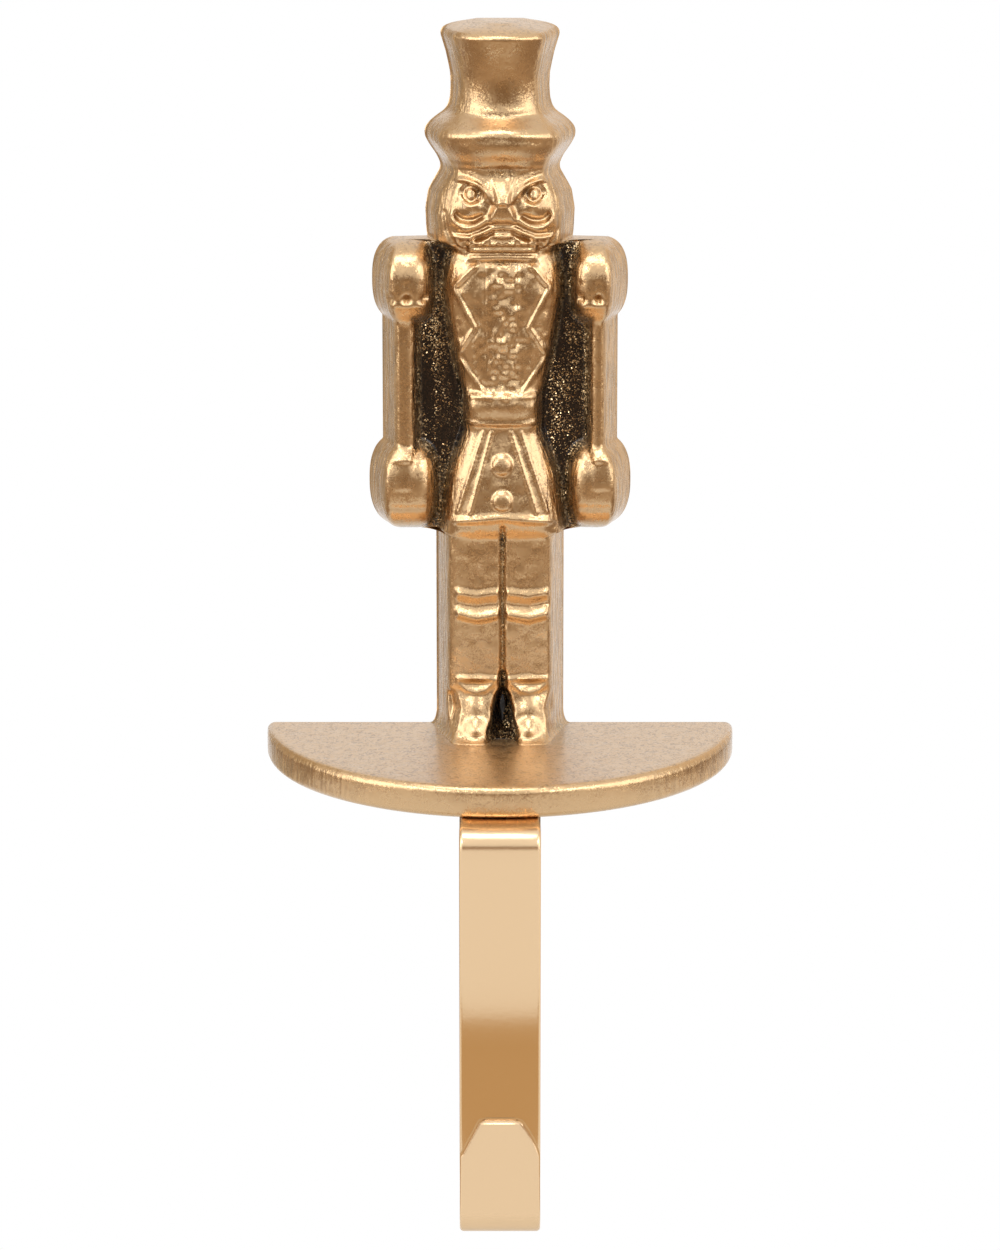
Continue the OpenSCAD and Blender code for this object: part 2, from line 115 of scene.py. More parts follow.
# Level, half width and depth of the body and of the hat
BODY_ROWS = [
    (-3, 12.9, 14.4), (0, 12.9, 14.2), (2.5, 12.9, 13.6), (6, 12.9, 12.6), (10, 12.9, 11.3),
    (23, 12.9, 11.6), (30, 12.9, 11.4), (41.5, 12.9, 11.4), (43, 12.4, 12.6), (45.5, 12.2, 13.2),
    (54, 11, 12.2), (63, 8.05, 10.4), (65, 8.2, 10.7), (70.6, 8.2, 10.7), (72.3, 8.8, 10.3),
    (80, 10.4, 10.6), (91.3, 12, 11), (96.5, 11.55, 10.4), (98.6, 11.2, 10), (100, 12, 10.8),
    (100.8, 14.5, 11.4), (102.5, 14.7, 12), (106.8, 14.9, 12.5), (110.5, 14.3, 12.3),
    (112, 13.5, 12.1), (113.4, 12.7, 11.8), (114.6, 12, 11.5), (115.6, 11.85, 11.6),
    (116.6, 12.2, 12.2), (117.6, 12.7, 13), (118.6, 13.4, 13.9), (119.8, 14.2, 14.9),
    (121.1, 14.9, 15.4), (122.2, 15.05, 15.5), (123.2, 14.8, 15.2), (124.3, 13.9, 14.3),
    (125.4, 12.6, 13), (126.4, 11.1, 11.6), (127.4, 10.4, 10.9), (129, 9.95, 10.5),
    (131.5, 9.8, 10.4), (134, 9.9, 10.5), (136.3, 10.35, 11), (138.3, 10.8, 11.5),
    (140.3, 11.4, 12.2), (141.8, 11.85, 12.7), (142.7, 11.65, 12.5), (143.3, 11, 11.9),
    (143.9, 9.6, 10.7), (144.3, 7.6, 9), (144.7, 3.4, 5.5)
]
SECTION_POWERS = [
    (0, 4.5), (41, 4.5), (44, 3.6), (65, 4), (96.5, 4), (99, 2.6), (102, 2.3), (115, 2.2),
    (120, 2), (145, 2)
]


def linear(hex_code):
    """Linear colour of an sRGB hex value."""
    values = [int(hex_code[i:i + 2], 16) / 255 for i in (1, 3, 5)]
    return [v / 12.92 if v <= 0.04045 else ((v + 0.055) / 1.055) ** 2.4 for v in values] + [1]


def per_millimetres(size):
    """Scale of a pattern whose features are this many millimetres apart."""
    return 1 / (size * MM)


def camera():
    """Camera at the photograph's viewing angle."""
    data = bpy.data.cameras.new("camera")
    data.lens = CAMERA_LENS
    data.sensor_width = 36
    data.clip_start, data.clip_end = 0.01, 20
    holder = bpy.data.objects.new("camera", data)
    bpy.context.collection.objects.link(holder)
    pitch = math.radians(CAMERA_PITCH)
    aim = Vector((0, 0, BASE_TOP * MM + CAMERA_AIM_ABOVE_BASE))
    away = Vector((0, -math.cos(pitch), math.sin(pitch)))
    holder.location = aim + away * CAMERA_DISTANCE
    holder.rotation_euler = (math.pi / 2 - pitch, 0, 0)
    bpy.context.scene.camera = holder


def mesh_piece(name, points, faces, materials=(), smooth=True):
    """A mesh object in metres from points in millimetres."""
    mesh = bpy.data.meshes.new(name)
    mesh.from_pydata((np.asarray(points) * MM).tolist(), [], faces)
    mesh.validate()
    for material in materials:
        mesh.materials.append(material)
    mesh.shade_smooth() if smooth else mesh.shade_flat()
    piece = bpy.data.objects.new(name, mesh)
    bpy.context.collection.objects.link(piece)
    return piece


def stand_for(piece, cad_node, sharp_above):
    """Puts the finished piece in the CAD node's place, with its edges sharp above an angle."""
    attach(piece, "root")
    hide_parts(cad_node)
    keep_edges_sharp(piece, sharp_above)


# The relief as a height field: every function takes and gives arrays
def step(low, high, v):
    """Eased rise from 0 at low to 1 at high."""
    t = np.clip((v - low) / (high - low), 0, 1)
    return t * t * (3 - 2 * t)


def soft_max(a, b, blend):
    """The higher of two, with the joint rounded over the blend."""
    h = np.clip(0.5 + 0.5 * (a - b) / blend, 0, 1)
    return b + (a - b) * h + blend * h * (1 - h)


def block(dx, dz, w, h, power, power_across=None):
    """Height of a rounded block of unit height, squarer across where that is given."""
    inside = 1 - np.abs(dx / w * 2) ** (power_across or power) - np.abs(dz / h * 2) ** power
    return np.maximum(0, inside) ** (1 / power)


def distance_to_line(x, z, points):
    """Distance to a line through points, and the share of the way along it."""
    best = np.full(np.broadcast(x, z).shape, 1e9)
    for (ax, az), (bx, bz) in zip(points, points[1:]):
        run = (bx - ax) ** 2 + (bz - az) ** 2
        t = np.clip(((x - ax) * (bx - ax) + (z - az) * (bz - az)) / max(run, 1e-9), 0, 1)
        best = np.minimum(best, np.hypot(x - ax - t * (bx - ax), z - az - t * (bz - az)))
    return best


def ridge(x, z, points, reach, rise):
    """A rounded ridge along a line, or a groove where rise is below zero."""
    d = np.clip(distance_to_line(x, z, points) / reach, 0, 1)
    return rise * (1 - d * d) ** 2


def dome(x, z, centre, reach, rise):
    """A rounded swelling, or a hollow where rise is below zero."""
    d = np.clip(np.hypot((x - centre[0]) / reach[0], (z - centre[1]) / reach[1]), 0, 1)
    return rise * (1 - d * d) ** 2


def across(rows, column, z, soften=0.35):
    """A value of the rows at each level, eased so that no level shows a corner."""
    levels = np.arange(-5, 150, 0.05)
    table = np.array(rows)
    values = np.interp(levels, table[:, 0], table[:, column])
    reach = np.arange(-40, 41) * 0.05
    weights = np.exp(-0.5 * (reach / soften) ** 2)
    eased = np.convolve(np.pad(values, 40, mode="edge"), weights / weights.sum(), mode="valid")
    return np.interp(z, levels, eased)


def body_half(z):
    """Half width of the body and the hat."""
    flare = FOOT_FLARE * foot_fillet(z) / FOOT_FILLET_R
    return across(BODY_ROWS, 1, z, 0.3) + flare


def arm_half(z):
    """Half width of an arm with its shoulder and hand, from its middle line."""
    half = np.where((z > HAND[0]) & (z < SHOULDER[0]), ARM_W / 2, 0)
    for level, w, h, power, _ in (SHOULDER, HAND):
        inside = np.maximum(0, 1 - np.abs((z - level) / h * 2) ** power)
        half = np.maximum(half, w / 2 * inside ** (1 / power))
    return half


def in_arms(z):
    """Whether a level lies between the top of the shoulders and the hands' end."""
    return (z > HAND[0] - HAND[2] / 2) & (z < SHOULDER[0] + SHOULDER[2] / 2)


def outline(z):
    """Half width of the casting's back at each level."""
    return np.where(in_arms(z), np.maximum(body_half(z), ARM_X + arm_half(z)), body_half(z))


def foot_fillet(z):
    """Reach of the hollow fillet between the figure and the base."""
    t = np.clip(z / FOOT_FILLET_R, 0, 1)
    return FOOT_FILLET_R * (1 - np.sqrt(1 - (1 - t) ** 2))


def body_height(x, z):
    """Depth of the body and the hat without their marks."""
    half, depth = body_half(z), across(BODY_ROWS, 2, z, 0.4)
    power = across(SECTION_POWERS, 1, z, 1)
    t = np.minimum(1, np.abs(x) / half)
    return (depth + foot_fillet(z)) * np.maximum(0, 1 - t ** power) ** (1 / power)


def arms_height(x, z):
    """Depth of the arms, shoulders and hands without their marks."""
    dx = np.abs(x) - ARM_X
    height = np.zeros(np.broadcast(x, z).shape)
    for level, w, h, power, depth in (SHOULDER, HAND):
        height = np.maximum(height, depth * block(dx, z - level, w, h, power, 5))
    taper = 1.5 * step(60, 57, z) + 1.2 * step(84, 88, z)
    bar = (ARM_DEPTH + taper) * block(dx, 0, ARM_W + taper, ARM_W, 2.6)
    bar = np.where((z > HAND[0]) & (z < SHOULDER[0]), bar, 0)
    # The mould's draft on the side of the arm towards the body
    inner = np.maximum(0, dx + ARM_W / 2) * INNER_DRAFT
    return soft_max(height, -soft_max(-bar, -inner, 1), 1.2)


# The face, in millimetres from its middle line and above the base. Each line is
# its points, its half width and its rise, and is mirrored; below zero is a groove.
FACE_LINES = [
    # Brow, lower lid and the line of the cheekbone
    ([(9, 114), (7.2, 114), (5.2, 113.4), (3.8, 112.2), (3.1, 110.8)], 0.65, 0.5),
    ([(8, 115.2), (5.6, 114.6), (3.6, 113.5), (2.9, 112)], 0.5, -0.25),
    ([(8.2, 110.6), (7.3, 109.6), (6.1, 109.1), (4.9, 109.7)], 0.5, 0.35),
    ([(8.9, 112.4), (9.4, 110), (9.9, 107.6)], 0.8, 0.15),
    # Slot under the cheek, and the two strands of the moustache
    ([(9.2, 107), (8.4, 106.4), (7.1, 106.1), (5.6, 106.3), (4.2, 107)], 0.95, -1.1),
    ([(10, 107), (9.5, 105.5), (8.2, 104.7), (6.6, 104.6), (5, 105.2), (3.6, 106.4)], 1, 0.7),
    ([(2.3, 105.6), (4.4, 104.5), (6.7, 103.5), (9.3, 103.4)], 0.5, -0.5),
    ([(0, 104.9), (2.2, 104.7), (4, 103.8), (6, 102.7), (7.8, 102.5), (9.6, 102.9)], 0.65, 0.6),
    ([(3.7, 103), (5.9, 102), (7.6, 101.8)], 0.5, -0.4),
    # Open mouth, lower lip, and the chin with its hinge lines
    ([(2.1, 103.7), (3.3, 103), (5.5, 102.5)], 0.6, -1.2),
    ([(0, 102.2), (2.2, 102.5)], 0.4, -0.7),
    ([(0, 100.75), (6, 100.6)], 0.4, -0.5),
    ([(0, 100.1), (6.4, 99.95)], 0.55, 0.5),
    ([(0, 99.35), (6.8, 99.2)], 0.45, -0.5),
    ([(0, 98.5), (5.8, 98.5)], 1, 0.6), ([(0, 97.3), (6.6, 97.3)], 0.5, -0.6),
    ([(6.4, 102.2), (6.5, 100)], 0.45, 0.5),
    ([(7.1, 102), (7.1, 99.9)], 0.4, -0.45),
    # Edge of the beard in three lines
    ([(11.4, 107.4), (10.9, 104), (10, 102), (8.9, 100.6), (7.4, 99.7)], 0.5, -0.5),
    ([(10.6, 106), (10.1, 103.6), (9.2, 101.6), (8, 100.4)], 0.5, 0.35),
    ([(12.2, 106.6), (11.7, 103.4), (10.8, 101.2), (9.6, 99.8)], 0.5, 0.3)
]
# Middle, half sizes and rise of each rounded swelling or hollow of the face
FACE_SPOTS = [
    ((6.1, 111.4), (2.9, 2.2), -2.3),
    ((6.3, 108.7), (3.4, 1.9), 0.8), ((0.1, 103.1), (2.3, 0.9), 0.9),
    ((4.4, 101.5), (1.3, 0.85), 0.9), ((1.8, 101.3), (0.8, 0.75), 0.8),
    ((0, 101.2), (0.7, 0.6), 0.5), ((8.1, 101.1), (1.1, 1.1), -0.7)
]
EYE_PLACE = (6.25, 111.35)
EYE_R = 1.25
# Level, half width and rise of the nose, and the width of its sloping sides
NOSE_ROWS = [
    (104, 3.3, 0), (105.4, 3.3, 0), (106.1, 3.3, 0.9), (107, 3.1, 1.5), (108.4, 2.6, 1.8),
    (109.6, 2, 1.9), (110.6, 1.7, 1.7), (112.5, 2.2, 1), (114.2, 3, 0.4), (116, 3.6, 0.1),
    (117, 3.6, 0)
]
NOSE_SLOPE = 1
# Edge of the forehead over each eye, as distances from the middle and levels
BROW_X = (2, 3.1, 4.2, 5.6, 7.2, 9.5)
BROW_Z = (110, 111.6, 112.7, 113.6, 114.1, 114)
BROW_RISE = 1
# Level at which the forehead leaves the hat's brim, and the rise of the eyeball
FOREHEAD_TOP = 117
EYE_RISE = 2.1
# Fold between the eyebrows, to the right of the middle
FACE_FOLD = ([(1.6, 117), (1.4, 113)], 0.8, -0.3)

# The coat, in millimetres from the casting's middle line and above the base: points,
# half width and rise of each line
COAT_LINES = [
    # Collar points that fold out at the top, and the two seams of the coat front
    ([(-4.4, 97.6), (-8.28, 93.6)], 1.3, 0.3), ([(5.8, 97.6), (8.82, 93.6)], 1.3, 0.3),
    ([(-3.05, 98), (-3.05, 84), (-2.44, 76)], 0.4, -0.3),
    ([(3.5, 98), (3.5, 84), (2.8, 76)], 0.4, -0.3),
    # Belt: its rounded middle, and a lip at each edge
    ([(-7, 68.4), (7.8, 68.4)], 2.6, 0.5),
    ([(-6.8, 70.5), (0.4, 70.3), (7.6, 70.5)], 0.6, 0.35),
    ([(-6.8, 65), (0.4, 64.7), (7.6, 65)], 0.6, 0.35),
    # Rolled hem, a little higher in the middle
    ([(-12.1, 44.9), (-7, 45.4), (0.3, 46.2), (7.6, 45.4), (12.7, 44.9)], 1.1, 0.6)
]
# Zigzag edge of each lapel, and its lines: how far outside it, half width and rise
LAPELS = (
    [(-4.4, 97.3), (-9.2, 92.4), (-4.9, 84.4), (-8.6, 78.7), (-3.3, 71.4)],
    [(5.8, 97.3), (9.8, 92.4), (5.7, 84.4), (9.4, 78.6), (4.5, 71.4)]
)
LAPEL_LINES = ((0, 0.5, 0.6), (0.55, 0.35, 0.2), (-0.75, 0.7, -0.2))
BELT_X = 0.4
BELT_RISE = 0.7
# Beaded stripes of the skirt: place across of each one's top and foot
STRIPES = ((-3.2, -8.6), (-1.55, -6.1), (2.1, 7.4), (4.1, 9.6))
STRIPE_TOP = 63.4
STRIPE_FOOT = 46.8
STRIPE_BEADS = 18
BUTTON_X = 0.42
BUTTON_LEVELS = (56.65, 49.4)
BUTTON_R = 2.05
BUTTON_RISE = 1.2
# Grooves between the legs, then the lines and spots that both legs have
LEG_GROOVES = [([(0, 44.2), (0, 10)], 0.75, -1.2), ([(0, 13), (0, 9)], 1.2, -1)]
LEG_LINES = [
    # Knee band in two rolls
    ([(0.8, 30.2), (5.2, 29.6), (9.6, 30.2)], 1.3, 0.7),
    ([(0.8, 25.9), (5.2, 25.1), (9.6, 26.1)], 1.35, 1.05),
    ([(0.8, 28), (5.2, 27.4), (9.6, 28)], 0.8, -0.35),
    # Cuff of the boot: a rim over a sagging fold
    ([(1.2, 12.2), (5.2, 12.5), (9.6, 12.2)], 0.7, 0.7),
    ([(1.8, 11.3), (3.4, 10), (5.4, 9.6), (7.4, 10), (9.2, 11.3)], 0.7, 0.6)
]
LEG_SPOTS = [((5.4, 11.1), (2.6, 0.9), -0.45)]
# Instep and toe of the boot
BOOT_SPOTS = [((5.5, 6.6), (2.4, 3.4), 0.6), ((5.4, 2.6), (3.1, 2.6), 1.6)]
BOOT_X = 5.5
BOOT_DEEP = 3
BOOT_GAP_DEEP = 4.5
ARM_LINES = [
    # Fringe under the shoulder
    ([(15.6, 91.2), (15.6, 93.4)], 0.9, -0.3), ([(19, 91.2), (19, 93.4)], 0.9, -0.3),
    ([(22.3, 91.2), (22.3, 93.4)], 0.9, -0.3), ([(14, 88.9), (23.6, 88.9)], 1.2, 0.35),
    # Glove: two bevels that meet in a ridge, and a roll at the finger tips
    ([(15.8, 60.4), (18.8, 57.4), (22.4, 60.4)], 0.9, 0.45),
    ([(14.3, 57.2), (18.8, 57), (23.6, 57.2)], 0.6, 0.2),
    ([(14.6, 47.4), (23.2, 47.4)], 1, -0.18),
    # Flat of the sleeve
    ([(16.9, 84), (16.9, 61)], 0.7, 0.12), ([(20.7, 84), (20.7, 61)], 0.7, 0.12)
]
ARM_SPOTS = [((x, 90.2), (1.05, 1.4), -1.6) for x in (15.6, 19, 22.3)]
# Rolled rim at the top, joint of crown and brim, and the brim's two edges
HAT_LINES = [
    ([(0, 142.6), (12, 142.3)], 1.1, 0.35), ([(0, 126.5), (11, 127.2)], 1, -0.45),
    ([(0, 124.6), (14.6, 123)], 1.8, 0.7), ([(0, 117.4), (12, 116.8)], 0.9, 0.3)
]
CROWN_LEAN = 0.45
CASTING_PIT = ((-6, 121.2), (0.5, 0.5), -0.35)


def marks(x, z, lines, spots=()):
    """Sum of a table's ridges and of its domes."""
    return sum(ridge(x, z, *line) for line in lines) + sum(dome(x, z, *spot) for spot in spots)


def face_marks(x, z):
    """Brow, eyes, nose, moustache, mouth and jaw of the soldier."""
    side = np.abs(x)
    h = marks(side, z, FACE_LINES, FACE_SPOTS)
    r = np.hypot(side - EYE_PLACE[0], z - EYE_PLACE[1]) / EYE_R
    h += EYE_RISE * np.sqrt(np.maximum(0, 1 - r * r))
    # Forehead: leans out from the hat down to the brow
    brow = np.interp(side, BROW_X, BROW_Z)
    lean = np.clip((FOREHEAD_TOP - z) / (FOREHEAD_TOP - brow), 0, 1)
    h += BROW_RISE * lean * step(brow - 0.6, brow + 0.1, z) * step(10.5, 8.5, side)
    # Nose: its half width and its rise run down from the brow to the tip
    wide, rise = across(NOSE_ROWS, 1, z, 0.2), across(NOSE_ROWS, 2, z, 0.2)
    h = h + rise * step(wide, wide - NOSE_SLOPE, side)
    return h + ridge(x, z, *FACE_FOLD)


def coat_marks(x, z):
    """Zigzag lapels, coat front, belt, skirt stripes, buttons and hem."""
    x = x + RELIEF_SHIFT
    h = marks(x, z, COAT_LINES)
    for edge in LAPELS:
        outward = math.copysign(1, edge[0][0])
        for out, reach, rise in LAPEL_LINES:
            h += ridge(x, z, [(px + outward * out, pz) for px, pz in edge], reach, rise)
    h += BELT_RISE * step(64.2, 65, z) * step(71.4, 70.6, z) * step(7.7, 7.1, np.abs(x - BELT_X))
    for top, foot in STRIPES:
        h += ridge(x, z, [(top, STRIPE_TOP), (foot, STRIPE_FOOT)], 0.45, 0.38)
        for i in range(STRIPE_BEADS):
            t = (i + 0.5) / STRIPE_BEADS
            bead = (top + (foot - top) * t, STRIPE_TOP + (STRIPE_FOOT - STRIPE_TOP) * t)
            h += dome(x, z, bead, (0.45, 0.4), 0.3)
    for level in BUTTON_LEVELS:
        h += dome(x, z, (BUTTON_X, level), (2.6, 2.6), -0.25)
        r = np.hypot(x - BUTTON_X, z - level) / BUTTON_R
        h += BUTTON_RISE * np.sqrt(np.maximum(0, 1 - r ** 2)) ** 0.8
    return h


def leg_marks(x, z):
    """Groove between the legs, knee bands, cuffs and boots."""
    side = np.abs(x)
    leg = step(0.35, 1.3, side) * step(9.7, 8.9, side)
    h = marks(x, z, LEG_GROOVES) + marks(side, z, LEG_LINES, LEG_SPOTS) * leg
    # The groove opens between the boots
    gap = 0.9 + 0.36 * np.clip(9 - z, 0, 8)
    h -= BOOT_GAP_DEEP * step(gap, 0.4 * gap, side) * step(10.5, 7.5, z)
    # Boot: narrow at the ankle, with a round instep and toe, set back at its sides
    spread = 0.25 * np.abs(z - 6)
    beside = step(2.6 + spread, 4.6 + spread, np.abs(side - BOOT_X))
    h -= BOOT_DEEP * beside * step(0.2, 2.2, z) * step(10.2, 8.4, z)
    return h + marks(side, z, (), BOOT_SPOTS)


def hat_marks(x, z):
    """Rolled rim and brim, the lean of the crown, and a casting pit."""
    h = marks(np.abs(x), z, HAT_LINES) + CROWN_LEAN * step(130, 143, z)
    return h + dome(x, z, *CASTING_PIT)


def pebbles(x, z, pitch, seed):
    """An even random waviness, like the skin of a casting, between -1 and 1."""
    grid = np.random.default_rng(seed).uniform(-1, 1, (160, 60))
    column, row = (x + 30) / pitch, (z + 10) / pitch
    c, r = np.floor(column).astype(int), np.floor(row).astype(int)
    u, v = column - c, row - r
    u, v = u * u * (3 - 2 * u), v * v * (3 - 2 * v)
    low = grid[r, c] * (1 - u) + grid[r, c + 1] * u
    high = grid[r + 1, c] * (1 - u) + grid[r + 1, c + 1] * u
    return low * (1 - v) + high * v


def blurred(field, sigma):
    """The field with its creases rounded, as a sand mould rounds them."""
    reach = np.arange(-int(3 * sigma) - 1, int(3 * sigma) + 2)
    weights = np.exp(-0.5 * (reach / sigma) ** 2)
    weights /= weights.sum()
    for axis in (0, 1):
        pad = [(len(reach) // 2,) * 2 if a == axis else (0, 0) for a in (0, 1)]
        padded = np.pad(field, pad, mode="edge")
        field = np.apply_along_axis(np.convolve, axis, padded, weights, mode="valid")
    return field


RELIEF_PITCH = 0.15
relief_xs = np.arange(-27, 27 + RELIEF_PITCH, RELIEF_PITCH)
relief_zs = np.arange(-3, FIGURE_H + 1, RELIEF_PITCH)

# How far the mould rounds every crease, and the reach within which a place is a hollow
MOULD_ROUND = 0.22
HOLLOW_REACH = 3.6
# Depth given to the floor between body and arms for its near-black painted shade, and where it begins
WEB_SHADE_DEPTH = 1.6
WEB_SHADE_FROM = (8, 10)
# Where that painted shade ends under the shoulders, how much wider it is below, and its soft edge
WEB_SHADE_TO = 15
WEB_SHADE_WIDER = 6
WEB_SHADE_BLUR = 0.7
# Extra hollow at the figure's foot, where it meets the base: painted shade there, and looser flakes
FOOT_HOLLOW = 0.6
# Waves of the skin: the coat front with its bumps in the middle, and the rest
CHEST_X = 0.5
CHEST_WAVE = 0.14
CHEST_BUMPS = 0.36
CHEST_PITCH = 1.1
SKIN_WAVE = 0.09
SKIN_PITCH = 1.6
# Marks of the body, with the levels where each begins, is whole, is still whole and ends
MARKS = [
    (face_marks, 96.6, 97.2, 115.6, 117), (coat_marks, 43.6, 44.2, 96.8, 97.4),
    (leg_marks, -10, -9, 43.8, 44.4), (hat_marks, 115.6, 116.4, 160, 161)
]


def relief_fields():
    """Depth of the relief, and how deep each place lies below what is round it."""
    z = relief_zs[:, None]
    edge = outline(z) - np.abs(relief_xs[None, :])
    x = relief_xs[None, :] - RELIEF_SHIFT
    arms = np.where(in_arms(z), arms_height(x, z), 0)
    carved = sum(
        mark(x, z) * step(begin, whole, z) * step(end, still, z)
        for mark, begin, whole, still, end in MARKS)
    bumps = CHEST_WAVE + CHEST_BUMPS * step(3.6, 2, np.abs(x - CHEST_X))
    carved += bumps * pebbles(x, z, CHEST_PITCH, 3) * step(66, 74, z) * step(98.5, 95, z)
    carved += SKIN_WAVE * pebbles(x, z, SKIN_PITCH, 5) * step(110, 100, z)
    near_body = step(0.02, 0.25, 1 - np.abs(x) / np.maximum(body_half(z), 1))
    body = body_height(x, z) + carved * near_body
    arms = arms + marks(np.abs(x), z, ARM_LINES, ARM_SPOTS) * step(WEB_H, WEB_H + 2.5, arms)
    height = soft_max(body, arms, 1)
    height = np.where(in_arms(z), soft_max(height, WEB_H, 1.6), height)
    wall = edge * (DRAFT + (LEG_DRAFT - DRAFT) * step(43, 41, z))
    height = np.minimum(np.maximum(-soft_max(-height, -wall, 1.2), 0), np.maximum(wall, 0))
    height = blurred(height, MOULD_ROUND / RELIEF_PITCH)
    hollow = blurred(height, HOLLOW_REACH / RELIEF_PITCH) - height
    # Painted shade on the floor of the web, short of the rounded tops of the shoulders
    short = WEB_SHADE_TO + WEB_SHADE_WIDER * step(97, 93, z)
    web = WEB_SHADE_DEPTH * step(WEB_H + 2.6, WEB_H + 0.8, height) * in_arms(z)
    web = blurred(web * step(short + 1.5, short, np.abs(x)), WEB_SHADE_BLUR / RELIEF_PITCH)
    hollow += (web - hollow) * step(*WEB_SHADE_FROM, np.abs(x)) * in_arms(z)
    hollow *= step(0.5, 3.5, edge)
    return height, hollow + FOOT_HOLLOW * step(2.6, 0.6, z)


def sampled(field, x, z):
    """The field's value at places between its samples."""
    column = np.clip((x - relief_xs[0]) / RELIEF_PITCH, 0, len(relief_xs) - 1.001)
    row = np.clip((z - relief_zs[0]) / RELIEF_PITCH, 0, len(relief_zs) - 1.001)
    c, r = column.astype(int), row.astype(int)
    u, v = column - c, row - r
    low = field[r, c] * (1 - u) + field[r, c + 1] * u
    high = field[r + 1, c] * (1 - u) + field[r + 1, c + 1] * u
    return low * (1 - v) + high * v


FIGURE_COLUMNS = 90
# The inner columns are even over this share of them, and reach this far across
EVEN_COLUMNS = 0.62
EVEN_REACH = 11.5
EVEN_REACH_SHARE = 0.8
# Bands of the mesh from the sunk foot to the hat: low, high and number of rows
FIGURE_BANDS = [
    (-FIGURE_SINK, 0, 2), (0, 4, 24), (4, 43, 92), (43, 64, 74), (64, 98, 98), (98, 117, 112),
    (117, 143, 80), (143, FIGURE_H, 16)
]


def figure_mesh():
    """Points and faces of the relief: rows from outline to outline, and a flat back."""
    height, hollow = relief_fields()
    levels = np.concatenate([
        np.linspace(low, high, rows, endpoint=False) for low, high, rows in FIGURE_BANDS])
    levels = np.append(levels, FIGURE_H)
    t = np.linspace(0, 1, FIGURE_COLUMNS + 1)
    half = outline(levels)[:, None]
    inner = np.minimum(EVEN_REACH, EVEN_REACH_SHARE * half)
    turn = np.clip((t - EVEN_COLUMNS) / (1 - EVEN_COLUMNS), 0, 1) * math.pi / 2
    outer = inner + (half - inner) * np.sin(turn)
    side = np.where(t < EVEN_COLUMNS, inner * t / EVEN_COLUMNS, outer)
    x = np.concatenate([-side[:, :0:-1], side], axis=1)
    z = np.repeat(levels[:, None], x.shape[1], axis=1)
    y = -sampled(height, x, z)
    y[:, 0] = y[:, -1] = 0
    deep = sampled(hollow, x, z)
    deep[:, 0] = deep[:, -1] = 0
    width = x.shape[1]
    points = np.stack([x, y, z + BASE_TOP], axis=-1).reshape(-1, 3)
    index = np.arange(len(levels) * width).reshape(len(levels), width)
    a, b, c, d = index[:-1, :-1], index[:-1, 1:], index[1:, 1:], index[1:, :-1]
    faces = np.stack([a, b, c, d], axis=-1).reshape(-1, 4).tolist()
    faces += [[r[-1], r[0], s[0], s[-1]] for r, s in zip(index.tolist(), index.tolist()[1:])]
    faces.append(index[-1].tolist())
    faces.append(index[0, ::-1].tolist())
    return points, faces, deep.reshape(-1)


# The base: radius of its rolled edges, and half width and depth of the feet on it
BASE_EDGE_R = 1.6
FEET = (13, 15.5)
# Share of the hollow measure for the dry spray and the painted shade round the feet
SPRAY_AND_SHADE_SHARE = 0.62


def base_mesh(first):
    """Points and faces of the half disc under the figure, numbered from first."""
    r, flat = BASE_EDGE_R, BASE_R - BASE_EDGE_R
    turns = np.linspace(0, math.pi / 2, 7)
    rings = [0.5, 5, *range(10, 24), *np.linspace(24, flat, 12)]
    profile = [(ring, BASE_H) for ring in rings]
    profile += [(flat + r * math.sin(a), BASE_H - r + r * math.cos(a)) for a in turns[1:]]
    profile += [(flat + r * math.cos(a), r - r * math.sin(a)) for a in turns]
    profile += [(ring, 0) for ring in np.linspace(flat, 0.5, 12)[1:]]
    angles = np.linspace(math.pi, 2 * math.pi, 121)
    points = [(d * math.cos(a), d * math.sin(a), z + BASE_Z) for a in angles for d, z in profile]
    index = first + np.arange(len(points)).reshape(len(angles), len(profile))
    a, b, c, d = index[:-1, :-1], index[:-1, 1:], index[1:, 1:], index[1:, :-1]
    faces = np.stack([a, b, c, d], axis=-1).reshape(-1, 4).tolist()
    # Fans round the middle of the top and of the underside, and the flat back
    faces.append(index[:, 0].tolist())
    faces.append(index[::-1, -1].tolist())
    faces.append(index[0, ::-1].tolist() + index[-1].tolist())
    return points, faces


def casting(material):
    """The figure with its base as one casting."""
    points, faces, hollow = figure_mesh()
    base_points, base_faces = base_mesh(len(points))
    everything = np.concatenate([points, np.array(base_points)])
    piece = mesh_piece("cast_soldier_and_base", everything, faces + base_faces, [material])
    deep = piece.data.attributes.new("hollow", "FLOAT", "POINT")
    # Dry spray also settles on the base round the feet, and painted shade darkens it there:
    # both go into the hollow measure
    places = np.abs(np.array(base_points)) - (*FEET, 0)
    away = np.hypot(np.maximum(places[:, 0], 0), np.maximum(places[:, 1], 0))
    spray_and_shade = SPRAY_AND_SHADE_SHARE * step(FOOT_SPRAY_AND_SHADE, 0, away) * (places[:, 2] > BASE_TOP - 0.1)
    deep.data.foreach_set("value", np.concatenate([hollow, spray_and_shade]).astype(np.float32))
    stand_for(piece, "cast_figure_base", CAST_SHARP)


def keep_edges_sharp(piece, degrees):
    """Edges that turn by more than the angle are shaded as edges."""
    mesh = bmesh.new()
    mesh.from_mesh(piece.data)
    bmesh.ops.recalc_face_normals(mesh, faces=mesh.faces)
    for edge in mesh.edges:
        if len(edge.link_faces) == 2:
            edge.smooth = edge.calc_face_angle(0) < math.radians(degrees)
    mesh.to_mesh(piece.data)
    mesh.free()


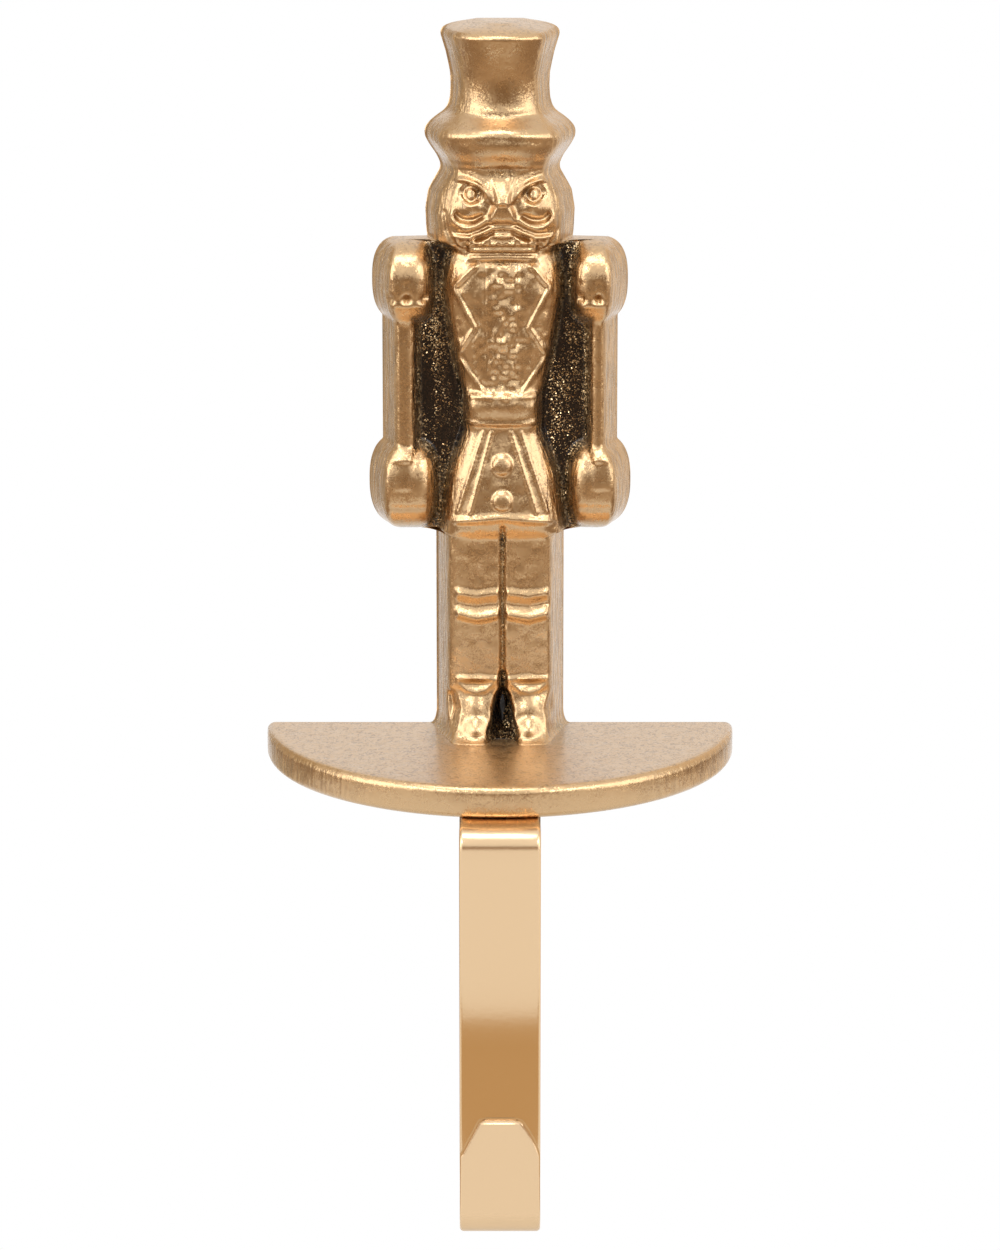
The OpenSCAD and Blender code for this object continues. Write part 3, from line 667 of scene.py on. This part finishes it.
# The strap: a flat bar bent along its middle line
STRAP_T = 3
STRAP_W = 16
TIP_W = 15.3
TIP_FLAT = 7.9
TIP_CUT = 7.4
TIP_H = 24.4
TIP_ARC_BULGE = 0.55
TOP_BEND = 1
HOOK_BEND = 3
EDGE_R = 0.75
STRAP_REACH = 8.2
# The bar grows narrower over this length, which ends this far short of the tip
TAPER_L = 50
TAPER_SHORT = 2


def strap_path():
    """Middle line of the bar as (distance, y, z, direction angle) rows."""
    back = strap_high.y / MM
    front = -(BASE_R + STRAP_REACH)
    low = strap_low.z / MM
    tip = strap_low.y / MM
    top = BASE_Z - STRAP_T / 2
    tip_top = low + TIP_H
    rows = []

    def add(y, z, angle):
        """Adds a place, with its distance along the line."""
        s = 0 if not rows else rows[-1][0] + math.hypot(y - rows[-1][1], z - rows[-1][2])
        rows.append((s, y, z, angle))

    def straight(y0, z0, y1, z1, angle, count):
        """Adds a straight run between two places."""
        for t in np.linspace(0, 1, count + 1):
            add(y0 + (y1 - y0) * t, z0 + (z1 - z0) * t, angle)

    def turn(cy, cz, r, a0, a1, d0, count=10):
        """Adds a bend round a centre between two angles; d0 is the direction at its start."""
        for t in np.linspace(0, 1, count + 1)[1:-1]:
            a = math.radians(a0 + (a1 - a0) * t)
            add(cy + r * math.cos(a), cz + r * math.sin(a), d0 + (a1 - a0) * t)

    r1, r2 = TOP_BEND + STRAP_T / 2, HOOK_BEND + STRAP_T / 2
    y1, y2 = front + STRAP_T / 2, tip + STRAP_T / 2
    z2 = low + STRAP_T / 2
    straight(back, top, y1 + r1, top, 180, 12)
    turn(y1 + r1, top - r1, r1, 90, 180, 180)
    straight(y1, top - r1, y1, z2 + r2, 270, 30)
    turn(y1 - r2, z2 + r2, r2, 0, -90, 270)
    straight(y1 - r2, z2, y2 + r2, z2, 180, 8)
    turn(y2 + r2, z2 + r2, r2, 270, 180, 180)
    straight(y2, z2 + r2, y2, tip_top, 90, 30)
    return np.array(rows)


def countersink(place):
    """A turned cutter for a screw's hole, at its place in the strap's underside."""
    cutter = bmesh.new()
    rings = []
    for r, level in zip(SINK_RADII, SINK_LEVELS):
        rings.append([
            cutter.verts.new((Vector(place) + Vector((r * math.cos(a), r * math.sin(a), level))) * MM)
            for a in np.linspace(0, 2 * math.pi, SCREW_SIDES, endpoint=False)])
    for low, high in zip(rings, rings[1:]):
        for i in range(SCREW_SIDES):
            j = (i + 1) % SCREW_SIDES
            cutter.faces.new((low[i], low[j], high[j], high[i]))
    cutter.faces.new(rings[0][::-1])
    cutter.faces.new(rings[-1])
    mesh = bpy.data.meshes.new("countersink")
    cutter.to_mesh(mesh)
    cutter.free()
    return bpy.data.objects.new("countersink", mesh)


def bored(piece):
    """The strap with its two countersunk holes cut."""
    for place in screw_places():
        cutter = countersink(place)
        bpy.context.collection.objects.link(cutter)
        cut = piece.modifiers.new("hole", "BOOLEAN")
        cut.object, cut.operation, cut.solver = cutter, "DIFFERENCE", "EXACT"
        whole = piece.evaluated_get(bpy.context.evaluated_depsgraph_get())
        mesh = bpy.data.meshes.new_from_object(whole)
        piece.modifiers.remove(cut)
        piece.data = mesh
        bpy.data.objects.remove(cutter)


def strap(material):
    """The strap with rounded edges, its cut tip and two countersunk holes."""
    path = strap_path()
    length = path[-1, 0]
    ring = []
    corner = np.linspace(0, math.pi / 2, 5)
    for s, y, z, angle in path:
        taper = np.clip((s - (length - TAPER_SHORT)) / TAPER_L + 1, 0, 1)
        half = (STRAP_W + (TIP_W - STRAP_W) * taper) / 2
        cut = np.clip((s - (length - TIP_CUT)) / TIP_CUT, 0, 1)
        left = half - cut * (half - TIP_FLAT / 2)
        right = left + TIP_ARC_BULGE * 4 * cut * (1 - cut)
        to_end = min(1, s / EDGE_R, (length - s) / EDGE_R)
        squeeze = EDGE_R * (1 - math.sqrt(max(0, 1 - (1 - to_end) ** 2)))
        r = EDGE_R
        ht = STRAP_T / 2 - squeeze
        xl, xr = -left + squeeze, right - squeeze
        section = [(xr - r + r * math.cos(a), ht - r + r * math.sin(a)) for a in corner]
        section += [(xr + (xl - xr) * t, ht) for t in (0.25, 0.5, 0.75)]
        section += [(xl + r - r * math.sin(a), ht - r + r * math.cos(a)) for a in corner]
        section += [(xl + r - r * math.cos(a), -ht + r - r * math.sin(a)) for a in corner]
        section += [(xl + (xr - xl) * t, -ht) for t in (0.25, 0.5, 0.75)]
        section += [(xr - r + r * math.sin(a), -ht + r - r * math.cos(a)) for a in corner]
        a = math.radians(angle)
        normal = (math.sin(a), -math.cos(a))
        ring.append([(x, y + normal[0] * h, z + normal[1] * h) for x, h in section])
    n = len(ring[0])
    points = [p for loop in ring for p in loop]
    faces = [
        [i * n + j, i * n + (j + 1) % n, (i + 1) * n + (j + 1) % n, (i + 1) * n + j]
        for i in range(len(ring) - 1) for j in range(n)
    ]
    faces.append(list(range(n)))
    faces.append([(len(ring) - 1) * n + j for j in range(n - 1, -1, -1)])
    piece = mesh_piece("painted_hook_strap", points, faces, [material])
    bored(piece)
    stand_for(piece, "hook_strap", STEEL_SHARP)


# The screws: M4 by 8, countersunk, with a cross recess
SCREW_R = 2
SCREW_L = 8
SCREW_GAP = 25
HEAD_R = 3.75
HEAD_LAND = 0.3
THREAD_PITCH = 0.7
CROSS_WIDTH = 1
CROSS_SPAN = 4.4
CROSS_DEPTH = 1.3
SCREW_SIDES = 32
SCREW_STEPS = 116
POINT_SHARE = 0.7
HOLE_R = 2.25
SINK_RADII = (HEAD_R, HEAD_R, HOLE_R, HOLE_R)
SINK_LEVELS = (-1, HEAD_LAND, HEAD_LAND + HEAD_R - HOLE_R, STRAP_T + 1)


def screw_places():
    """Middle of each screw's head, in the plane of the strap's underside."""
    low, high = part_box("fixing_screws")
    middle = (low.y + high.y) / 2 / MM
    return [(0, middle + side * SCREW_GAP / 2, low.z / MM) for side in (-1, 1)]


def screw_tree(metal, sizes):
    """Nodes that turn a threaded screw, cut its cross and set one at each place."""
    tree = bpy.data.node_groups.new("countersunk_screws", "GeometryNodeTree")
    tree.interface.new_socket("Geometry", in_out="OUTPUT", socket_type="NodeSocketGeometry")
    tree.interface.new_socket("First place", in_out="INPUT", socket_type="NodeSocketVector")
    for name in sizes:
        tree.interface.new_socket(name, in_out="INPUT", socket_type="NodeSocketFloat")
    size = tree.nodes.new("NodeGroupInput").outputs

    # Radius along the screw: land, cone of the head, thread, and a point at the end
    end = node(tree, "ShaderNodeCombineXYZ", {"Z": size["Length"]})
    axis = node(tree, "GeometryNodeCurvePrimitiveLine", {"End": end.outputs["Vector"]})
    axis = node(tree, "GeometryNodeResampleCurve", {"Curve": axis.outputs["Curve"], "Count": SCREW_STEPS})
    along = tree.nodes.new("GeometryNodeSplineParameter").outputs["Length"]
    past_land = maths(tree, "MAXIMUM", maths(tree, "SUBTRACT", along, size["Head land"]), 0)
    cone = maths(tree, "SUBTRACT", size["Head radius"], past_land)
    groove = maths(tree, "PINGPONG", along, maths(tree, "DIVIDE", size["Thread pitch"], 2))
    radius = maths(tree, "MAXIMUM", cone, maths(tree, "SUBTRACT", size["Shank radius"], groove))
    to_end = maths(tree, "SUBTRACT", size["Length"], along)
    blunt = maths(tree, "MULTIPLY", size["Shank radius"], POINT_SHARE)
    radius = maths(tree, "MINIMUM", radius, maths(tree, "ADD", to_end, blunt))
    circle = node(tree, "GeometryNodeCurvePrimitiveCircle", {"Resolution": SCREW_SIDES, "Radius": 1})
    body = node(tree, "GeometryNodeCurveToMesh", {
        "Curve": axis.outputs["Curve"], "Profile Curve": circle.outputs["Curve"], "Scale": radius,
        "Fill Caps": True})
    # Cross recess: two bars cut out of the head
    cut = node(tree, "GeometryNodeMeshBoolean", {"Mesh 1": body.outputs["Mesh"]},
               operation="DIFFERENCE", solver="EXACT")
    depth = maths(tree, "MULTIPLY", size["Cross depth"], 2)
    for wide, deep in (("Cross span", "Cross width"), ("Cross width", "Cross span")):
        bar = node(tree, "ShaderNodeCombineXYZ", {"X": size[wide], "Y": size[deep], "Z": depth})
        bar = node(tree, "GeometryNodeMeshCube", {"Size": bar.outputs["Vector"]})
        tree.links.new(bar.outputs["Mesh"], cut.inputs["Mesh 2"])
    apart = node(tree, "ShaderNodeCombineXYZ", {"Y": size["Gap"]})
    places = node(tree, "GeometryNodeMeshLine", {
        "Count": 2, "Start Location": size["First place"], "Offset": apart.outputs["Vector"]})
    pair = node(tree, "GeometryNodeInstanceOnPoints", {
        "Points": places.outputs["Mesh"], "Instance": cut.outputs["Mesh"]})
    pair = node(tree, "GeometryNodeRealizeInstances", {"Geometry": pair.outputs["Instances"]})
    pair = node(tree, "GeometryNodeSetMaterial", {
        "Geometry": pair.outputs["Geometry"], "Material": metal})
    node(tree, "NodeGroupOutput", {"Geometry": pair.outputs["Geometry"]})
    return tree


def screws(metal):
    """The two screws that hold the strap to the casting's underside."""
    sizes = {
        "Head radius": HEAD_R, "Head land": HEAD_LAND, "Shank radius": SCREW_R, "Length": SCREW_L,
        "Thread pitch": THREAD_PITCH, "Cross width": CROSS_WIDTH, "Cross span": CROSS_SPAN,
        "Cross depth": CROSS_DEPTH, "Gap": SCREW_GAP}
    piece = mesh_piece("zinc_plated_screws", [], [])
    build = piece.modifiers.new("screws", "NODES")
    build.node_group = screw_tree(metal, sizes)
    values = {name: size * MM for name, size in sizes.items()}
    values["First place"] = [v * MM for v in screw_places()[0]]
    for socket in build.node_group.interface.items_tree:
        if socket.in_out == "INPUT":
            build[socket.identifier] = values[socket.name]
    whole = piece.evaluated_get(bpy.context.evaluated_depsgraph_get())
    piece.data = bpy.data.meshes.new_from_object(whole)
    piece.modifiers.remove(build)
    stand_for(piece, "fixing_screws", STEEL_SHARP)


def node(tree, kind, links=None, **settings):
    """Adds a node with its settings; a link's value is a number, a colour or another node's socket."""
    made = tree.nodes.new(kind)
    for name, value in settings.items():
        setattr(made, name, value)
    for name, value in (links or {}).items():
        socket = made.inputs[name]
        if isinstance(name, str):
            socket = next(s for s in made.inputs if s.name == name and s.enabled)
        if isinstance(value, bpy.types.NodeSocket):
            tree.links.new(value, socket)
        else:
            socket.default_value = value
    return made


def maths(tree, operation, *values):
    """Result of a sum with numbers or sockets."""
    return node(tree, "ShaderNodeMath", dict(enumerate(values)), operation=operation).outputs["Value"]


def mapped(tree, value, low, high, to_low=0, to_high=1):
    """The value carried from one range to another, and held at its ends."""
    return node(tree, "ShaderNodeMapRange", {
        "Value": value, "From Min": low, "From Max": high, "To Min": to_low, "To Max": to_high
    }).outputs["Result"]


def noise(tree, place, size, detail, distortion=0):
    """Soft noise with features this many millimetres apart."""
    return node(tree, "ShaderNodeTexNoise", {
        "Vector": place, "Scale": per_millimetres(size), "Detail": detail, "Distortion": distortion
    }).outputs["Fac"]


def mixed(tree, share, first, second):
    """A colour between two, by the share of the second."""
    mix = node(tree, "ShaderNodeMix", {"Factor": share, "A": first, "B": second}, data_type="RGBA")
    return next(s for s in mix.outputs if s.enabled)


def new_material(name):
    """A new material with its node tree, output and the place on the object."""
    material = bpy.data.materials.new(name)
    material.use_nodes = True
    tree = material.node_tree
    tree.nodes.clear()
    output = tree.nodes.new("ShaderNodeOutputMaterial")
    place = tree.nodes.new("ShaderNodeTexCoord").outputs["Object"]
    return material, tree, output, place


def gold_cast_paint():
    """Metallic gold spray paint on a sand casting: smooth on the high places, darkened near black
    in the hollows as painted shade with loose glittering flakes, streaked on the drafted walls."""
    material, tree, output, place = new_material("metallic_gold_paint_on_casting")
    deep = node(tree, "ShaderNodeAttribute", attribute_name="hollow")
    recess = mapped(tree, deep.outputs["Fac"], 0.35, 1.5)
    facing = node(tree, "ShaderNodeNewGeometry")
    way = node(tree, "ShaderNodeSeparateXYZ", {"Vector": facing.outputs["Normal"]}).outputs
    # The skin of the casting waves every 2.5 mm, with pits 1 mm apart where it lies level
    skin = noise(tree, place, 2.5, 3)
    level = mapped(tree, way["Z"], 0.8, 1)
    pits = mapped(tree, noise(tree, place, 1, 2, 1.5), 0.36, 0.5, 0.55, 0)
    pitted = maths(tree, "MULTIPLY", pits, level)
    # Draw marks along the walls, 1 mm wide and 5 mm long
    drawn = node(tree, "ShaderNodeVectorMath", {0: place, 1: (1, 1, 0.2)}, operation="MULTIPLY")
    drawn = drawn.outputs["Vector"]
    draw_marks = noise(tree, drawn, 1, 2)
    wall = mapped(tree, maths(tree, "ABSOLUTE", way["X"]), 0.5, 0.95)
    streak = maths(tree, "MULTIPLY", mapped(tree, draw_marks, 0.4, 0.6, 0.5, 0), wall)
    # Flakes of 0.2 mm, each lying its own way; in the hollows only some show through the
    # painted shade, in upright bands 3 mm wide
    flakes = node(tree, "ShaderNodeTexVoronoi", {"Vector": place, "Scale": per_millimetres(0.2)})
    flakes = flakes.outputs["Color"]
    each = node(tree, "ShaderNodeSeparateXYZ", {"Vector": flakes}).outputs["X"]
    held = maths(tree, "MULTIPLY_ADD", noise(tree, drawn, 3, 2), 1.1, each)
    # Painted shade: share of near black in the hollows, where no flake shows
    hollow_shade = maths(tree, "MULTIPLY", maths(tree, "LESS_THAN", held, 1.4), recess)
    # Pits on level places and draw marks on the walls are given a darker gold
    pits_and_streaks = maths(tree, "ADD", pitted, streak)
    gold = mixed(tree, pits_and_streaks, linear("#CEAA7C"), linear("#7A5A38"))
    dry = mixed(tree, recess, gold, linear("#EDCE9E"))
    # The hollows take the near-black painted shade
    colour = mixed(tree, hollow_shade, dry, linear("#26170B"))
    rough = mapped(tree, skin, 0.3, 0.7, 0.22, 0.32)
    rough = maths(tree, "MULTIPLY_ADD", level, 0.12, rough)
    drag = node(tree, "ShaderNodeBump", {"Strength": wall, "Distance": 0.7 * MM, "Height": draw_marks})
    dents = node(tree, "ShaderNodeBump", {
        "Strength": 0.7, "Distance": 0.2 * MM, "Height": pitted, "Normal": drag.outputs["Normal"]},
        invert=True)
    coarse = node(tree, "ShaderNodeBump", {
        "Strength": 0.5, "Distance": 0.32 * MM, "Height": skin, "Normal": dents.outputs["Normal"]})
    # How far the flakes tilt: a little on sound paint, freely in the hollows
    tilt = mapped(tree, recess, 0, 1, 0.17, 1.9)
    lie = node(tree, "ShaderNodeVectorMath", {0: flakes, 1: (0.5, 0.5, 0.5)}, operation="SUBTRACT")
    lie = node(tree, "ShaderNodeVectorMath", {0: lie.outputs["Vector"], 3: tilt}, operation="SCALE")
    turned = node(tree, "ShaderNodeVectorMath", {0: coarse.outputs["Normal"], 1: lie.outputs["Vector"]})
    turned = node(tree, "ShaderNodeVectorMath", {0: turned.outputs["Vector"]}, operation="NORMALIZE")
    paint = node(tree, "ShaderNodeBsdfPrincipled", {
        "Base Color": colour, "Metallic": 1, "Roughness": rough, "Coat Weight": 0.9,
        "Coat Roughness": 0.25, "Normal": turned.outputs["Vector"]})
    tree.links.new(paint.outputs["BSDF"], output.inputs["Surface"])
    return material


def gold_strap_paint():
    """The same metallic paint on rolled steel bar: smooth, with a faint orange peel."""
    material, tree, output, place = new_material("metallic_gold_paint_on_bar")
    peel = noise(tree, place, 1.4, 2)
    bump = node(tree, "ShaderNodeBump", {"Strength": 0.2, "Distance": 0.1 * MM, "Height": peel})
    paint = node(tree, "ShaderNodeBsdfPrincipled", {
        "Base Color": linear("#E8C8A0"), "Metallic": 1, "Roughness": 0.24,
        "Normal": bump.outputs["Normal"]})
    tree.links.new(paint.outputs["BSDF"], output.inputs["Surface"])
    return material


def zinc_plating():
    """Zinc-plated steel: pale and a little blue, with fine cloudy patches."""
    material, tree, output, place = new_material("zinc_plated_steel")
    colour = node(tree, "ShaderNodeValToRGB", {"Fac": noise(tree, place, 1.1, 3)})
    colour.color_ramp.elements[0].color = linear("#A9ABAD")
    colour.color_ramp.elements[1].color = linear("#C9CBCC")
    metal = node(tree, "ShaderNodeBsdfPrincipled", {
        "Base Color": colour.outputs["Color"], "Metallic": 1, "Roughness": 0.32})
    tree.links.new(metal.outputs["BSDF"], output.inputs["Surface"])
    return material


def foam_rubber():
    """Black foam rubber: matt, with open pores 0.6 mm apart."""
    material, tree, output, place = new_material("black_foam_rubber")
    pores = node(tree, "ShaderNodeTexVoronoi", {"Vector": place, "Scale": per_millimetres(0.6)})
    colour = node(tree, "ShaderNodeValToRGB", {"Fac": pores.outputs["Distance"]})
    colour.color_ramp.elements[0].color = linear("#141414")
    colour.color_ramp.elements[1].color = linear("#2B2B2A")
    bump = node(tree, "ShaderNodeBump", {
        "Strength": 0.5, "Distance": 0.2 * MM, "Height": pores.outputs["Distance"]})
    rubber = node(tree, "ShaderNodeBsdfPrincipled", {
        "Base Color": colour.outputs["Color"], "Roughness": 0.85, "Normal": bump.outputs["Normal"]})
    tree.links.new(rubber.outputs["BSDF"], output.inputs["Surface"])
    return material


def area_lamp(name, place, size, power):
    """A soft lamp that points at the middle of the object."""
    data = bpy.data.lights.new(name, "AREA")
    data.shape = "RECTANGLE"
    data.size, data.size_y = size
    data.energy = power
    lamp = bpy.data.objects.new(name, data)
    bpy.context.collection.objects.link(lamp)
    lamp.location = place
    lamp.rotation_euler = (Vector(LAMP_AIM) - Vector(place)).to_track_quat("-Z", "Y").to_euler()


def level_corners(x0, x1, y0, y1, z):
    """Corners of a level sheet."""
    return [(x0, y0, z), (x1, y0, z), (x1, y1, z), (x0, y1, z)]


def upright_corners(half, y, low, high):
    """Corners of an upright sheet that faces the front."""
    return [(-half, y, low), (half, y, low), (half, y, high), (-half, y, high)]


def studio():
    """White world, pale floor, glowing cards seen only in the metal as painted reflections, and soft
    lamps from the sides and above.
    """
    scene = bpy.context.scene
    scene.view_settings.view_transform = "Standard"
    world = bpy.data.worlds.new("studio")
    world.use_nodes = True
    scene.world = world
    tree = world.node_tree
    tree.nodes.clear()
    path = tree.nodes.new("ShaderNodeLightPath")
    seen = maths(tree, "MAXIMUM", path.outputs["Is Camera Ray"], path.outputs["Is Glossy Ray"])
    seen = maths(tree, "MAXIMUM", seen, path.outputs["Is Transmission Ray"])
    soft = node(tree, "ShaderNodeBackground", {"Color": linear("#FFFFFF"), "Strength": 0.5})
    white = node(tree, "ShaderNodeBackground", {"Color": linear("#FFFFFF"), "Strength": 1})
    mix = node(tree, "ShaderNodeMixShader", {0: seen, 1: soft.outputs[0], 2: white.outputs[0]})
    output = tree.nodes.new("ShaderNodeOutputWorld")
    tree.links.new(mix.outputs[0], output.inputs["Surface"])

    floor = sheet("floor", level_corners(-FLOOR_HALF, FLOOR_HALF, -FLOOR_HALF, FLOOR_HALF, FLOOR_Z))
    material, tree, output, place = new_material("pale_paper_floor")
    reach = node(tree, "ShaderNodeVectorMath", {0: place}, operation="LENGTH")
    fade = mapped(tree, reach.outputs["Value"], 0.35, 0.55)
    paper = node(tree, "ShaderNodeBsdfPrincipled", {"Base Color": linear("#F4F4F2"), "Roughness": 0.9})
    clear = tree.nodes.new("ShaderNodeBsdfTransparent")
    mix = node(tree, "ShaderNodeMixShader", {
        0: fade, 1: paper.outputs["BSDF"], 2: clear.outputs["BSDF"]})
    tree.links.new(mix.outputs[0], output.inputs["Surface"])
    floor.data.materials.append(material)

    # Glowing cards that only the metal sees, as painted reflections: level ones beside and in
    # front of the base, the nearer one in front paler, and upright ones far in front, in the
    # hook's throat for the painted shade above the tip, and behind the figure on each side
    wide, far = CARD_WIDE / 2, -CARD_NEAR - CARD_DEEP
    reflection_card("near_card", "#C8AF94", level_corners(-wide, wide, -CARD_NEAR, -CARD_SPLIT, CARD_Z))
    reflection_card("warm_card", "#947C63", level_corners(-wide, wide, -CARD_SPLIT, far, CARD_Z))
    reflection_card("front_card", "#8F7861", upright_corners(
        FRONT_CARD_WIDE / 2, -FRONT_CARD_FAR, CARD_Z, FRONT_CARD_TOP))
    reflection_card("hook_card", "#CEB28A", upright_corners(
        HOOK_CARD_WIDE / 2, HOOK_CARD_Y, strap_low.z, HOOK_CARD_TOP))
    for side, tone in ((-1, "#CAB79A"), (1, "#F7E6CF")):
        reflection_card("warm_wing", "#A89078", level_corners(
            side * WING_NEAR, side * wide, -CARD_NEAR, WING_BACK, CARD_Z))
        near, far = side * SIDE_CARD_NEAR, side * (SIDE_CARD_NEAR + SIDE_CARD_WIDE)
        reflection_card("cool_card", tone, [
            (near, SIDE_CARD_Y, FLOOR_Z), (far, SIDE_CARD_Y / 2, FLOOR_Z),
            (far, SIDE_CARD_Y / 2, SIDE_CARD_TOP), (near, SIDE_CARD_Y, SIDE_CARD_TOP)])
    for name, lamp in LAMPS.items():
        area_lamp(name, *lamp)


def sheet(name, corners):
    """A flat sheet of the studio, kept out of the export."""
    mesh = bpy.data.meshes.new(name)
    mesh.from_pydata(corners, [], [(0, 1, 2, 3)])
    made = bpy.data.objects.new(name, mesh)
    bpy.context.collection.objects.link(made)
    return made


def reflection_card(name, tone, corners):
    """A glowing card of an even tone, given as sRGB hex, that is seen in the metal only, as a painted
    reflection.
    """
    card = sheet(name, corners)
    card.visible_camera = card.visible_diffuse = card.visible_shadow = False
    card.visible_transmission = False
    material, tree, output = new_material(name)[:3]
    glow = node(tree, "ShaderNodeEmission", {"Color": linear(tone), "Strength": 1})
    tree.links.new(glow.outputs["Emission"], output.inputs["Surface"])
    card.data.materials.append(material)


camera()
studio()
casting(gold_cast_paint())
strap(gold_strap_paint())
screws(zinc_plating())
pad = bpy.data.objects["mantel_pad"]
pad.data.materials.clear()
pad.data.materials.append(foam_rubber())
